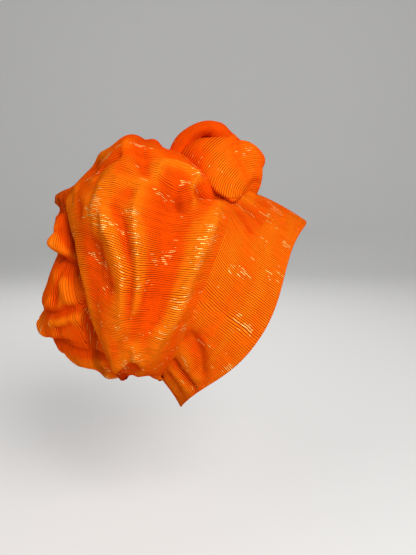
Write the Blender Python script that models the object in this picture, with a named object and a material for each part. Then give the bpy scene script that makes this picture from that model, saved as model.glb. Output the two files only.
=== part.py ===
"""Stretch turban in ribbed metallic knit: a wide band, a slouched bag behind it and a knot on top.

Frame, in metres: +X to the wearer's face, +Y to the wearer's left, +Z up. The origin is the centre of
the head opening, halfway between the band's front tip and its nape tip. Tables are in millimetres.
"""

import bpy
import bmesh
import numpy as np

MM = 0.001

# Driving dimensions, in millimetres
BAND_WALL = 3.0          # the band is the knit doubled over
BAG_WALL = 2.4           # the bag is one layer of thick rib knit
TOUCH_GAP = 0.4          # clearance between pieces that touch
ROUND_SECTION = 2.2      # superellipse power of the band and bag sections, 2 is an ellipse
PEAR = 0.10              # how much wider the bag is below its middle than above

# Grid of the band and the bag: columns round the head, rows along the cloth
COLUMNS = 72
BAND_ROWS = 6
BAG_ROWS = 28

# Band sections from the free rim to the seam: the top and the bottom point in the middle plane,
# the half width across the head, and how far the side leans to the face
BAND_SECTIONS = (
    # along  top_x  top_z  bottom_x  bottom_z  half_width  side_lean
    (0.00,   61.0,  94.0,  -61.0,    -91.0,    76.0,       12.0),
    (0.35,   38.0, 108.0,  -68.0,    -79.0,    78.0,        9.0),
    (0.70,   14.0, 119.0,  -76.0,    -67.0,    79.0,        5.0),
    (1.00,   -7.0, 123.0,  -82.0,    -58.0,    79.5,        3.0),
)
RIM_WAVE = 11.0          # how far the rim draws back between the tips and the ears
RIM_WAVE_REACH = 0.55    # share of the band's width that the wave dies out over

# Bag sections from the seam to the back, in the same terms
BAG_SECTIONS = (
    # along  top_x   top_z  bottom_x  bottom_z  half_width  side_lean
    (0.00,    -7.0,  123.0,  -82.0,    -58.0,    79.5,       3.0),
    (0.08,   -24.0,  138.0,  -90.0,    -62.0,    92.0,       3.0),
    (0.20,   -50.0,  155.0,  -99.0,    -58.0,   101.0,       0.0),
    (0.33,   -84.0,  173.0, -105.0,    -55.0,   104.0,       0.0),
    (0.43,  -108.0,  175.0, -108.0,    -57.0,   104.0,       0.0),
    (0.54,  -131.0,  156.0, -110.0,    -61.0,   100.0,       0.0),
    (0.64,  -150.0,  138.0, -112.0,    -63.0,    93.0,       2.0),
    (0.70,  -158.0,  130.0, -116.0,    -62.0,    83.0,       4.0),
    (0.76,  -164.0,  126.0, -124.0,    -58.0,    66.0,       6.0),
    (0.84,  -171.0,  123.0, -142.0,    -51.0,    57.0,      -2.0),
    (0.92,  -176.0,  120.0, -160.0,    -42.0,    42.0,      -3.0),
    (0.97,  -179.0,  117.0, -171.0,    -34.0,    24.0,       0.0),
    (1.00,  -180.0,  111.0, -175.0,    -26.0,     0.0,       0.0),
)

# Outline of the bag's back, from its top to its bottom: share of the height, and how far it stands out
BACK_OUTLINE = (
    # down  out
    (0.00,  0.0),
    (0.12,  0.0),
    (0.22,  0.0),
    (0.32,  0.0),
    (0.40,  2.0),
    (0.52, 13.0),
    (0.62, 20.0),
    (0.72, 20.0),
    (0.82, 27.0),
    (0.90, 19.0),
    (1.00,  4.0),
)
BACK_OUTLINE_FROM = 0.72     # share of the bag's length where the back's outline starts to show

# Folds of the bag's right side. Each runs through places given as degrees round from the top and share
# along from the seam. The widths are towards the face and towards the back of a fold that runs down.
BAG_FOLDS = (
    # name                 height  face_width  back_width  places
    ("roll behind seam",      9.0,   9.0, 11.0, ((34, .05), (49, .08), (75, .10), (104, .12), (118, .13))),
    ("hollow behind roll",   -8.0,  12.0, 12.0, ((50, .21), (66, .22), (89, .20), (104, .21), (116, .20))),
    ("first drape",           7.0,   9.0,  8.0, ((56, .30), (74, .33), (90, .31), (102, .31), (116, .28))),
    ("gutter",               -5.0,   8.0,  7.0, ((60, .41), (76, .37), (95, .345), (108, .33))),
    ("second drape",          7.5,   9.0, 10.0, ((52, .49), (70, .46), (88, .39), (104, .36), (115, .27))),
    ("slack side",           -5.0,  11.0, 14.0, ((68, .55), (88, .51), (106, .47))),
    ("top drape",             6.0,   9.0,  9.0, ((42, .38), (36, .30), (32, .24), (29, .15))),
    ("dimple by knot",       -8.0,  10.0, 10.0, ((30, .08), (38, .12), (48, .17), (56, .21))),
    ("hollow under drape",   -5.0,   9.0,  9.0, ((42, .22), (52, .23), (60, .23))),
    ("shoulder drape",        5.0,   9.0,  9.0, ((42, .50), (54, .52), (64, .55))),
    ("shoulder crease",      -5.0,   8.0,  8.0, ((34, .42), (40, .47), (46, .54))),
    ("turned edge",           4.0,   8.0,  8.0, ((36, .66), (60, .665), (90, .665), (118, .665))),
    ("hem crease",           -8.0,   8.0,  8.0, ((119, .17), (125, .30), (129, .44), (130, .58))),
    ("hem",                   3.0,   8.0,  8.0, ((112, .20), (118, .32), (121, .45), (122, .60))),
    ("lower lump",            2.0,  10.0, 12.0, ((140, .25), (143, .40), (145, .55))),
)
BACK_FOLDS = (
    # name                 height  face_width  back_width  places
    ("corner notch",         -5.0,   3.0,  4.0, ((20, .86), (24, .90), (27, .97))),
    ("flap",                  5.0,   8.0,  8.0, ((62, .97), (68, .88), (78, .79))),
    ("crease under flap",   -11.0,   6.0,  6.0, ((72, .97), (78, .88), (87, .78))),
    ("middle lobe",           5.0,   8.0,  8.0, ((84, .86), (92, .85), (100, .84))),
    ("crease over roll",     -7.0,   5.0,  5.0, ((112, .97), (106, .90), (102, .80))),
    ("middle roll",           5.0,   7.0,  8.0, ((116, .92), (113, .86), (112, .78))),
    ("pinch",                -9.0,   6.0,  6.0, ((120, .98), (122, .92), (126, .86))),
    ("bottom crease",        -8.0,   5.0,  5.0, ((140, .98), (134, .90), (130, .80), (128, .72))),
    ("bottom roll",           6.0,   9.0,  9.0, ((156, .90), (148, .82), (142, .74))),
)
# Folds across the top and the underside, which run straight over the middle plane
MIDDLE_FOLDS = (
    # name                 height  face_width  back_width  places
    ("seat of knot",        -13.0,  19.0, 19.0, ((0, .02), (0, .10), (0, .20))),
    ("crown crease",         -4.0,   9.0,  9.0, ((-24, .33), (0, .36), (22, .34))),
    ("crown drape",           4.0,   9.0,  9.0, ((-26, .52), (0, .55), (20, .52))),
    ("nape crease",          -5.0,   8.0,  8.0, ((160, .16), (180, .18), (200, .17))),
    ("under drape",           4.0,  10.0, 10.0, ((158, .36), (180, .40), (204, .37))),
)
LEFT_SIDE_TURN = 5.0         # degrees that the left side's folds are turned by at most against the right's
LEFT_SIDE_SLIDE = 0.05       # share of the length that they are moved along by at most
FOLD_END_TAPER = 0.22        # share of a fold's length over which each end dies away
FOLD_END_HEIGHT = 0.25       # share of the height that is left at the very end
FOLD_STEPS = 25              # points that a fold's path is measured at
FOLD_FADE_ROWS = 0.05        # share of the bag's length over which folds die away at the seam
SKIN_PASSES = 1              # smoothing of the folded skin, so that no fold is sharper than its wall is thick
NORMAL_PASSES = 2            # smoothing of the directions that the wall is offset in

# Folds of the band: the gathers that fan from the knot and the ones that bunch above the nape
BAND_FOLDS = (
    # name                 height  face_width  back_width  places
    ("front gather",         -1.6,   6.0,  6.0, ((13, 1.0), (17, .78), (19, .50))),
    ("second gather",        -2.2,   6.0,  6.0, ((23, 1.0), (30, .78), (34, .52))),
    ("third gather",         -1.6,   6.0,  6.0, ((33, 1.0), (42, .80), (49, .60))),
    ("ear gather",           -4.0,   8.0,  8.0, ((100, 1.0), (105, .72), (111, .45), (115, .22))),
    ("nape pleat",            2.5,   9.0,  9.0, ((108, 1.0), (114, .70), (120, .42))),
    ("nape gather",          -6.0,   8.0,  8.0, ((119, 1.0), (124, .70), (129, .40), (132, .08))),
    ("second nape pleat",     2.5,   9.0,  9.0, ((130, 1.0), (136, .70), (142, .35))),
    ("second nape gather",   -4.0,   8.0,  8.0, ((142, 1.0), (148, .60), (152, .25))),
)

# The knot. Its roll is the band's gathered cloth wound up into a fat lobe, and the loop goes round behind it.
KNOT_ROLL = (
    # along   x      y      z     half_height  half_depth
    (0.00,   20.0,  -3.0, 149.0,  12.0,        10.0),
    (0.14,   13.0,  -3.0, 146.0,  20.5,        18.0),
    (0.35,   -1.0,  -3.0, 142.0,  29.0,        25.0),
    (0.55,  -15.0,  -3.0, 142.0,  31.0,        28.0),
    (0.72,  -30.0,  -3.0, 147.0,  27.0,        27.0),
    (0.87,  -45.0,  -3.0, 151.0,  21.5,        22.0),
    (1.00,  -61.0,  -4.0, 152.0,  14.0,        15.0),
)
KNOT_LOOP = (
    # along   x      y      z     half_height  half_depth
    (0.00,  -71.0,   6.0, 144.0,   6.0,        12.0),
    (0.12,  -69.0,   8.0, 157.0,   6.5,        14.0),
    (0.26,  -58.0,  11.0, 172.0,   6.5,        15.0),
    (0.40,  -40.0,  14.0, 181.0,   7.0,        16.0),
    (0.55,  -19.0,  18.0, 174.0,  10.5,        16.0),
    (0.70,   -4.0,  20.0, 155.0,  12.5,        15.0),
    (0.85,    3.0,  18.0, 136.0,  11.0,        13.0),
    (1.00,    3.0,  14.0, 112.0,   8.0,        10.0),
)
ROLL_GRID = (26, 18)         # columns round, rows along
LOOP_GRID = (16, 24)
ROUND_END = 0.16             # share of a knot piece's length that rounds off at each end

ORANGE = (0.86, 0.125, 0.012, 1.0)
KNIT_ROUGHNESS = 0.62
KNIT_METALLIC = 0.15


def through(rows, at):
    """Values at each place of `at`: a smooth cubic through the rows, whose first column is the place."""
    table = np.array(rows, float)
    place, value = table[:, 0], table[:, 1:]
    slope = np.gradient(value, place, axis=0)
    at = np.asarray(at, float)
    cell = np.clip(np.searchsorted(place, at, side="right") - 1, 0, len(place) - 2)
    width = (place[cell + 1] - place[cell])[..., None]
    t = (at - place[cell])[..., None] / width
    return (
        (1 + 2 * t) * (1 - t) ** 2 * value[cell]
        + t * (1 - t) ** 2 * width * slope[cell]
        + t * t * (3 - 2 * t) * value[cell + 1]
        + t * t * (t - 1) * width * slope[cell + 1]
    )


def section_points(rows, around, along, pear=0.0):
    """Points of a lofted tube, where `around` is 0 at the top and a quarter turn at the right side."""
    top_x, top_z, low_x, low_z, half, lean = np.moveaxis(through(rows, along), -1, 0)
    power = 2 / ROUND_SECTION
    up = np.sign(np.cos(around)) * np.abs(np.cos(around)) ** power
    side = np.sign(np.sin(around)) * np.abs(np.sin(around)) ** power
    long_x, long_z = (top_x - low_x) / 2, (top_z - low_z) / 2
    reach = np.hypot(long_x, long_z)
    lean = lean * side**2
    x = (top_x + low_x) / 2 + long_x * up + long_z / reach * lean
    z = (top_z + low_z) / 2 + long_z * up - long_x / reach * lean
    y = -half * side * (1 - pear * up)
    return np.stack([x, y, z], -1)


def band_points(around, along):
    """The band's outer face before its folds, with the rim drawn back between the tips and the ears."""
    points = section_points(BAND_SECTIONS, around, along)
    fade = np.clip(1 - along / RIM_WAVE_REACH, 0, 1) ** 2
    wave = RIM_WAVE * np.sin(2 * around) ** 2 * fade
    top_x, top_z, low_x, low_z = BAND_SECTIONS[0][1:5]
    out = np.array([top_z - low_z, 0, low_x - top_x])
    return points - wave[..., None] * unit(out)


def bag_points(around, along):
    """The bag's outer face before its folds, with the back's own outline."""
    points = section_points(BAG_SECTIONS, around, along, PEAR)
    out = through(BACK_OUTLINE, (1 - np.cos(around)) / 2)[..., 0]
    share = np.clip((along - BACK_OUTLINE_FROM) / (1 - BACK_OUTLINE_FROM), 0, 1)
    points[..., 0] -= out * share * share * (3 - 2 * share)
    return points


def unit(vectors):
    """The vectors at length 1, and a vector of no length as it is."""
    return vectors / np.maximum(np.linalg.norm(vectors, axis=-1, keepdims=True), 1e-9)


def smoothed(grid, passes):
    """The grid with each point drawn halfway to its four neighbours' middle; the end rows stay."""
    for _ in range(passes):
        middle = (np.roll(grid, 1, 0) + np.roll(grid, -1, 0))[:, 1:-1] + grid[:, :-2] + grid[:, 2:]
        grid = np.concatenate([grid[:, :1], (grid[:, 1:-1] + middle / 4) / 2, grid[:, -1:]], 1)
    return grid


def normals(grid):
    """Smoothed outward unit normals of a grid that is closed round its first axis."""
    round_it = np.roll(grid, -1, 0) - np.roll(grid, 1, 0)
    along_it = np.gradient(grid, axis=1)
    facing = unit(np.cross(along_it, round_it))
    return unit(smoothed(facing, NORMAL_PASSES))


def fold_heights(grid, facing, base, folds):
    """How far each point is raised: every fold is a rounded ridge or valley along its path on `base`."""
    raised = np.zeros(grid.shape[:2])
    for _, height, face_width, back_width, places in folds:
        share = np.linspace(0, 1, len(places))
        rows = [(s, *place) for s, place in zip(share, places)]
        turn, along = through(rows, np.linspace(0, 1, FOLD_STEPS)).T
        path = base(np.radians(turn), along)
        offset = grid[:, :, None] - path
        nearest = np.linalg.norm(offset, axis=-1).argmin(-1)
        course = np.gradient(path, axis=0)[nearest]
        offset = np.take_along_axis(offset, nearest[..., None, None], 2)[:, :, 0]
        ahead = np.einsum("ijk,ijk->ij", np.cross(facing, course), offset) > 0
        width = np.where(ahead, face_width, back_width)
        apart = np.linalg.norm(offset, axis=-1)
        end = np.minimum(nearest, len(path) - 1 - nearest) / (len(path) - 1)
        taper = FOLD_END_HEIGHT + (1 - FOLD_END_HEIGHT) * np.clip(end / FOLD_END_TAPER, 0, 1)
        raised += height * taper * np.exp(-((apart / width) ** 2))
    return raised


def left_side(folds):
    """The same folds on the wearer's left, each moved and scaled a little, so that it is no mirror."""
    other = []
    for number, (name, height, face_width, back_width, places) in enumerate(folds):
        turn = LEFT_SIDE_TURN * np.cos(1.7 * number)
        slide = LEFT_SIDE_SLIDE * np.sin(2.3 * number)
        moved = tuple((turn - degrees, min(max(along + slide, 0), 1)) for degrees, along in places)
        other.append((name, height * (0.95 + 0.2 * np.sin(number)), back_width, face_width, moved))
    return tuple(other)


def even_rows(base, count):
    """Places along a tube that are evenly spaced along its right side."""
    fine = np.linspace(0, 1, 401)
    side = base(np.full(fine.shape, np.pi / 2), fine)
    step = np.linalg.norm(np.diff(side, axis=0), axis=-1)
    length = np.concatenate([[0], np.cumsum(step)])
    return np.interp(np.linspace(0, length[-1], count), length, fine)


def skin_grid():
    """The turban's whole outer skin, band and then bag, as columns round by rows along."""
    around = np.linspace(0, 2 * np.pi, COLUMNS, endpoint=False)
    parts = []
    for base, count, folds in (
        (band_points, BAND_ROWS, BAND_FOLDS + left_side(BAND_FOLDS)),
        (bag_points, BAG_ROWS, BAG_FOLDS + BACK_FOLDS + left_side(BAG_FOLDS + BACK_FOLDS) + MIDDLE_FOLDS),
    ):
        turn, along = np.meshgrid(around, even_rows(base, count), indexing="ij")
        grid = base(turn, along)
        facing = normals(grid)
        raised = fold_heights(grid, facing, base, folds)
        if base is bag_points:
            raised *= np.clip(along / FOLD_FADE_ROWS, 0, 1)
            raised[:, -1] = 0
        else:
            raised *= np.clip((1 - along) / FOLD_FADE_ROWS, 0, 1)
        parts.append(grid + raised[..., None] * facing)
    skin = np.concatenate([parts[0], parts[1][:, 1:]], 1)
    return smoothed(skin, SKIN_PASSES)


def mesh_object(name, points, faces):
    """An object from points in millimetres, with doubled points merged and faces pointing out."""
    mesh = bpy.data.meshes.new(name)
    mesh.from_pydata((np.asarray(points) * MM).tolist(), [], faces)
    shape = bmesh.new()
    shape.from_mesh(mesh)
    bmesh.ops.remove_doubles(shape, verts=shape.verts, dist=1e-6)
    bmesh.ops.triangulate(shape, faces=shape.faces, quad_method="FIXED")
    if shape.calc_volume(signed=True) < 0:
        bmesh.ops.reverse_faces(shape, faces=shape.faces)
    shape.to_mesh(mesh)
    shape.free()
    mesh.shade_smooth()
    piece = bpy.data.objects.new(name, mesh)
    bpy.context.collection.objects.link(piece)
    return piece


def tube_faces(columns, rows, first=0):
    """Quads of a grid closed round its columns, for points stored column by column."""
    faces = []
    for a in range(columns):
        here, beside = first + a * rows, first + (a + 1) % columns * rows
        for r in range(rows - 1):
            faces.append((here + r, beside + r, beside + r + 1, here + r + 1))
    return faces


def wall_object(name, outer, inner, closed_end):
    """A cloth wall between two grids, joined round the first row, and the last unless it closes there."""
    columns, rows = outer.shape[:2]
    points = np.concatenate([outer.reshape(-1, 3), inner.reshape(-1, 3)])
    shift = columns * rows
    faces = tube_faces(columns, rows) + [face[::-1] for face in tube_faces(columns, rows, shift)]
    for a in range(columns):
        b = (a + 1) % columns
        faces.append((b * rows, a * rows, shift + a * rows, shift + b * rows))
        if not closed_end:
            last_a, last_b = (a + 1) * rows - 1, (b + 1) * rows - 1
            faces.append((last_a, last_b, shift + last_b, shift + last_a))
    return mesh_object(name, points, faces)


def close_back(grid):
    """Brings the last row of both sides together on the middle plane, where the bag closes."""
    last = grid[:, -1]
    mirror = np.roll(last[::-1], 1, 0) * [1, -1, 1]
    grid[:, -1] = (last + mirror) / 2 * [1, 0, 1]


def closing_normals(facing):
    """Normals for the closing line, from the row before it: what both sides share, turned to the back."""
    mirror = np.roll(facing[::-1], 1, 0) * [1, -1, 1]
    return unit((facing + mirror) / 2 * [1, 0, 1] - [0.5, 0, 0])


def knot_points(rows, grid, grow=0.0):
    """A cloth roll along a curved path: each section is an oval across the path, rounded off at both ends."""
    columns, length = grid
    along = (1 - np.cos(np.linspace(0, np.pi, length))) / 2
    table = through(rows, along)
    centre, tall, deep = table[:, :3], table[:, 3] + grow, table[:, 4] + grow
    course = unit(np.gradient(centre, along, axis=0))
    across = unit(np.cross(course, [0, 1, 0]))
    depth = np.cross(across, course)
    around = np.linspace(0, 2 * np.pi, columns, endpoint=False)[:, None]
    edge = np.clip(np.minimum(along, 1 - along) / ROUND_END, 0, 1)
    swell = np.sqrt(1 - (1 - edge) ** 2)
    return (
        centre
        + (np.cos(around) * tall * swell)[..., None] * across
        + (np.sin(around) * deep * swell)[..., None] * depth
    )


def solid_roll(name, rows, grid, grow=0.0):
    """A closed solid roll of wound cloth."""
    points = knot_points(rows, grid, grow)
    return mesh_object(name, points.reshape(-1, 3), tube_faces(*grid))


def cut_away(piece, cutter):
    """Takes the cutter's space out of a piece, and leaves the cutter as a hidden guide."""
    cutter.hide_render = True
    cutter.display_type = "WIRE"
    cut = piece.modifiers.new("seat", "BOOLEAN")
    cut.operation = "DIFFERENCE"
    cut.solver = "EXACT"
    cut.object = cutter


def knit_material(name):
    """The orange knit with its metallic thread, as one material for each piece."""
    material = bpy.data.materials.new(name)
    material.use_nodes = True
    shader = material.node_tree.nodes["Principled BSDF"]
    shader.inputs["Base Color"].default_value = ORANGE
    shader.inputs["Roughness"].default_value = KNIT_ROUGHNESS
    shader.inputs["Metallic"].default_value = KNIT_METALLIC
    return material


def brim_band(skin, facing):
    """The doubled band from the free rim to the seam, whose last row stops just short of the bag."""
    outer = skin[:, :BAND_ROWS].copy()
    outer[:, -1] += TOUCH_GAP * unit(outer[:, -2] - outer[:, -1])
    inner = outer - BAND_WALL * facing[:, :BAND_ROWS]
    return wall_object("brim_band", outer, inner, closed_end=False)


def crown_bag(skin, facing):
    """The slouched bag from the seam to its closed back."""
    outer = skin[:, BAND_ROWS - 1 :]
    inner = outer - BAG_WALL * facing[:, BAND_ROWS - 1 :]
    close_back(inner)
    return wall_object("crown_bag", outer, inner, closed_end=True)


def seat_guide(skin, facing):
    """The space that the band, the bag and the head in them take up, for the knot to sit on."""
    points = skin + TOUCH_GAP * facing
    mouth = points[:, 0].mean(0)
    columns, rows = skin.shape[:2]
    faces = tube_faces(columns, rows)
    for a in range(columns):
        b = (a + 1) % columns
        faces.append((a * rows, columns * rows, b * rows))
    return mesh_object("seat_guide", np.vstack([points.reshape(-1, 3), mouth]), faces)


def knot(skin, facing):
    """The rolled lobe and the loop behind it, both cut to sit on the cloth below and against each other."""
    roll = solid_roll("knot_roll", KNOT_ROLL, ROLL_GRID)
    loop = solid_roll("knot_loop", KNOT_LOOP, LOOP_GRID)
    seat = seat_guide(skin, facing)
    roll_space = solid_roll("roll_guide", KNOT_ROLL, ROLL_GRID, grow=TOUCH_GAP)
    cut_away(roll, seat)
    cut_away(loop, seat)
    cut_away(loop, roll_space)
    return roll, loop


def build():
    for old in list(bpy.data.objects):
        bpy.data.objects.remove(old)
    skin = skin_grid()
    close_back(skin)
    facing = normals(skin)
    facing[:, -1] = closing_normals(facing[:, -2])
    for piece in (brim_band(skin, facing), crown_bag(skin, facing), *knot(skin, facing)):
        piece.data.materials.append(knit_material(piece.name))


build()
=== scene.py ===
"""The looks of a stretch turban in orange ribbed knit with yellow metallic thread.

Metres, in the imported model's frame: +X to the wearer's face, +Y to the wearer's left, +Z up. The
tables are in millimetres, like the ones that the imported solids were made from.
"""

import bpy
import bmesh
import numpy as np
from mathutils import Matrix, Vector


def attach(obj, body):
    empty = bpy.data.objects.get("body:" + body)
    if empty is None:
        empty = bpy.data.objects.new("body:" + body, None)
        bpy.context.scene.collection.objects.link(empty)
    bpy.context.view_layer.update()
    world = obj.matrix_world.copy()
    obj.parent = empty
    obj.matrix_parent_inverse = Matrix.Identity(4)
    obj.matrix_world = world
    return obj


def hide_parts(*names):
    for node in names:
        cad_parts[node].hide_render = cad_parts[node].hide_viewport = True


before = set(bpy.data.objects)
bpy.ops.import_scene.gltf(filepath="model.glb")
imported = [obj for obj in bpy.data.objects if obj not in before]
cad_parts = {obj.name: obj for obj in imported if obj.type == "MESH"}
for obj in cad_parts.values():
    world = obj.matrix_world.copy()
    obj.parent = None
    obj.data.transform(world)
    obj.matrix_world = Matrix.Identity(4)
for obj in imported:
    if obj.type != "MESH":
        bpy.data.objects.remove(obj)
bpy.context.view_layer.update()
MM = 0.001

# The view, the light and the floor. A photographer's plain pale sweep stands behind the turban, lit by
# a large soft lamp from above and the face side, a weaker one from the left and one from behind.
LOOK_AT = np.array([-33.56, 0.0, 38.14])
CAMERA_DISTANCE = 605.0
CAMERA_ELEVATION = 10.0
LENS = 40.0
FILM_HEIGHT = 36.0

elevation = np.radians(CAMERA_ELEVATION)
away = np.array([0, -np.cos(elevation), np.sin(elevation)])
camera_data = bpy.data.cameras.new("camera")
camera_data.sensor_fit = "VERTICAL"
camera_data.sensor_height = FILM_HEIGHT
camera_data.lens = LENS
camera_data.clip_start = 0.01
camera = bpy.data.objects.new("camera", camera_data)
camera.location = (LOOK_AT + CAMERA_DISTANCE * away) * MM
camera.rotation_euler = (np.pi / 2 - elevation, 0, 0)
bpy.context.collection.objects.link(camera)
bpy.context.scene.camera = camera
bpy.context.scene.view_settings.view_transform = "Standard"

LAMPS = (
    # name         place in metres      width  watts
    ("key",       (0.52, -1.18, 0.88),  0.80,  25.5),
    ("left side", (-1.00, -0.90, 0.90), 0.90,   3.0),
    ("back",      (-0.20, 1.20, 0.90),  0.80,   8.0),
)
ROOM_LIGHT = 0.42
ROOM_COLOUR = (0.92, 0.94, 0.97, 1)

for name, place, width, watts in LAMPS:
    lamp_data = bpy.data.lights.new(name, "AREA")
    lamp_data.size = width
    lamp_data.energy = watts
    lamp = bpy.data.objects.new(name, lamp_data)
    lamp.location = place
    aim = Vector(LOOK_AT * MM) - Vector(place)
    lamp.rotation_euler = aim.to_track_quat("-Z", "Y").to_euler()
    bpy.context.collection.objects.link(lamp)

room = bpy.data.worlds.new("room")
room.use_nodes = True
room.node_tree.nodes["Background"].inputs["Color"].default_value = ROOM_COLOUR
room.node_tree.nodes["Background"].inputs["Strength"].default_value = ROOM_LIGHT
bpy.context.scene.world = room

FLOOR_HEIGHT = -0.235
SWEEP_RADIUS = 0.9
SWEEP_BACK = 1.6
SWEEP_REACH = 4.0
PAPER_COLOUR = (0.72, 0.71, 0.69, 1)

bend = np.linspace(0, np.pi / 2, 17)
sweep_end = SWEEP_BACK + SWEEP_RADIUS
sweep_y = np.concatenate([[-SWEEP_REACH], SWEEP_BACK + SWEEP_RADIUS * np.sin(bend), [sweep_end]])
sweep_z = FLOOR_HEIGHT + np.concatenate([[0.0], SWEEP_RADIUS * (1 - np.cos(bend)), [SWEEP_REACH]])
sweep_points = [(x, y, z) for x in (-SWEEP_REACH, SWEEP_REACH) for y, z in zip(sweep_y, sweep_z)]
count = len(sweep_y)
sweep_mesh = bpy.data.meshes.new("sweep")
sweep_faces = [(i, count + i, count + i + 1, i + 1) for i in range(count - 1)]
sweep_mesh.from_pydata(sweep_points, [], sweep_faces)
sweep_mesh.shade_smooth()
sweep = bpy.data.objects.new("sweep", sweep_mesh)
bpy.context.collection.objects.link(sweep)
paper = bpy.data.materials.new("pale paper")
paper.use_nodes = True
paper.node_tree.nodes["Principled BSDF"].inputs["Base Color"].default_value = PAPER_COLOUR
paper.node_tree.nodes["Principled BSDF"].inputs["Roughness"].default_value = 0.9
sweep_mesh.materials.append(paper)


# The band: one wide strip of the ribbed knit, doubled over into a smooth hem at the free rim, which
# holds the head. Its ribs run from the seam to the rim, and it gathers over the ears and the nape.
ROUND_SECTION = 2.2      # superellipse power of the sections, 2 is an ellipse
BAND_WALL = 3.0
BAND_RIBS = 384
BAND_GRID = (672, 72)    # columns round the head, rows along the cloth
BAND_SECTIONS = (
    # along  top_x  top_z  bottom_x  bottom_z  half_width  side_lean
    (0.00,   61.0,  94.0,  -61.0,    -91.0,    76.0,       12.0),
    (0.35,   38.0, 108.0,  -68.0,    -79.0,    78.0,        9.0),
    (0.70,   14.0, 119.0,  -76.0,    -67.0,    79.0,        5.0),
    (1.00,   -7.0, 123.0,  -82.0,    -58.0,    79.5,        3.0),
)
RIM_WAVE = 11.0          # how far the rim draws back between the tips and the ears
RIM_WAVE_REACH = 0.55    # share of the band's width that the wave dies out over
BAND_FOLDS = (
    # name            height  face_width  back_width  sharp  lean  places (degrees round, share along)
    ("front gather",    -1.6,   6.0,  6.0, 1.5,  0.0, ((13, 1.0), (17, .78), (19, .50))),
    ("second gather",   -2.2,   5.0,  5.0, 1.4,  0.0, ((23, 1.0), (30, .78), (34, .52))),
    ("rise to knot",     4.5,  11.0, 11.0, 2.0,  0.0, ((5, .88), (15, .90), (26, .93))),
    ("tuck at knot",    -2.6,   3.0,  3.0, 1.2,  0.0, ((32, .99), (42, .79), (50, .65))),
    ("third gather",    -1.6,   6.0,  6.0, 1.5,  0.0, ((29, .90), (35, .73), (41, .55))),
    ("ear gather",      -5.5,   5.5,  8.0, 1.7,  0.0,
     ((104, 1.0), (106, .85), (109, .70), (113, .57), (119, .44), (123, .25))),
    ("nape lobe",        2.0,   7.0,  6.0, 2.0,  0.0, ((116, 1.0), (119, .75), (123, .50), (127, .25))),
    ("nape crease",     -5.5,   2.2,  3.6, 1.3,  0.0,
     ((124, 1.0), (128, .84), (130, .61), (131, .40), (131, .03))),
    ("nape pleat",       1.5,   5.5,  5.0, 1.9,  0.0, ((133, .98), (136, .72), (138, .45), (140, .20))),
    ("second crease",   -1.8,   3.0,  4.0, 1.4,  0.0, ((138, 1.0), (142, .64), (147, .34))),
    ("low pleat",        1.5,   5.0,  6.0, 1.9,  0.0, ((146, .98), (151, .62), (154, .32))),
    ("last gather",     -2.5,   5.0,  5.0, 1.3,  0.0, ((156, 1.0), (160, .60), (163, .30))),
)
LEFT_SIDE_TURN = 5.0     # degrees that the left side's folds are turned by at most against the right's
LEFT_SIDE_SLIDE = 0.05   # share of the length that they are moved along by at most
FOLD_END_TAPER = 0.22    # share of a fold's length over which each end dies away
FOLD_END_HEIGHT = 0.25   # share of the height that is left at the very end
FOLD_STEPS = 41          # points that a fold's path is measured at
FOLD_REACH = 3.2         # widths away from its path where a fold has died out
SEAM_FADE = 0.06         # share of the band's width over which its folds die away at the seam
RIM_ROUND = 0.8          # how far the rim's edge is rounded in
RIM_ROUND_REACH = 0.02   # share of the band's width that it is rounded over
RIB_BEND_FROM = 0.40     # share of the band's width where its ribs start to bend towards the knot
RIB_BEND = (
    # round  degrees that the ribs have moved up at the seam
    (0.0,    0.0),
    (15.0,  10.0),
    (40.0,  18.0),
    (70.0,   8.0),
    (95.0,   2.5),
    (120.0,  3.0),
    (150.0,  3.0),
    (180.0,  0.0),
)


def through(rows, at):
    """A smooth cubic through the rows, whose first column is the place: Hermite's form, with the
    slope at each row taken from its two neighbours."""
    table = np.array(rows, float)
    place, value = table[:, 0], table[:, 1:]
    slope = np.gradient(value, place, axis=0)
    at = np.asarray(at, float)
    cell = np.clip(np.searchsorted(place, at, side="right") - 1, 0, len(place) - 2)
    width = (place[cell + 1] - place[cell])[..., None]
    t = (at - place[cell])[..., None] / width
    return (
        (1 + 2 * t) * (1 - t) ** 2 * value[cell]
        + t * (1 - t) ** 2 * width * slope[cell]
        + t * t * (3 - 2 * t) * value[cell + 1]
        + t * t * (t - 1) * width * slope[cell + 1]
    )


def unit(vectors):
    """Each vector over its own length, and a vector of no length as it is."""
    return vectors / np.maximum(np.linalg.norm(vectors, axis=-1, keepdims=True), 1e-9)


def smooth_step(share):
    """3s^2 - 2s^3 of the share s, kept between 0 and 1."""
    share = np.clip(share, 0, 1)
    return share * share * (3 - 2 * share)


def section_points(rows, around, along, pear=0.0):
    """A lofted tube: at each place along, a superellipse whose two ends are the top and the bottom
    point of the rows and whose half width is the rows' own. `around` is 0 at the top, and a quarter
    turn at the right side, where the lean carries it to the face, at a right angle to its height."""
    top_x, top_z, low_x, low_z, half, lean = np.moveaxis(through(rows, along), -1, 0)
    power = 2 / ROUND_SECTION
    up = np.sign(np.cos(around)) * np.abs(np.cos(around)) ** power
    side = np.sign(np.sin(around)) * np.abs(np.sin(around)) ** power
    long_x, long_z = (top_x - low_x) / 2, (top_z - low_z) / 2
    reach = np.hypot(long_x, long_z)
    lean = lean * side**2
    x = (top_x + low_x) / 2 + long_x * up + long_z / reach * lean
    z = (top_z + low_z) / 2 + long_z * up - long_x / reach * lean
    y = -half * side * (1 - pear * up)
    return np.stack([x, y, z], -1)


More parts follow.
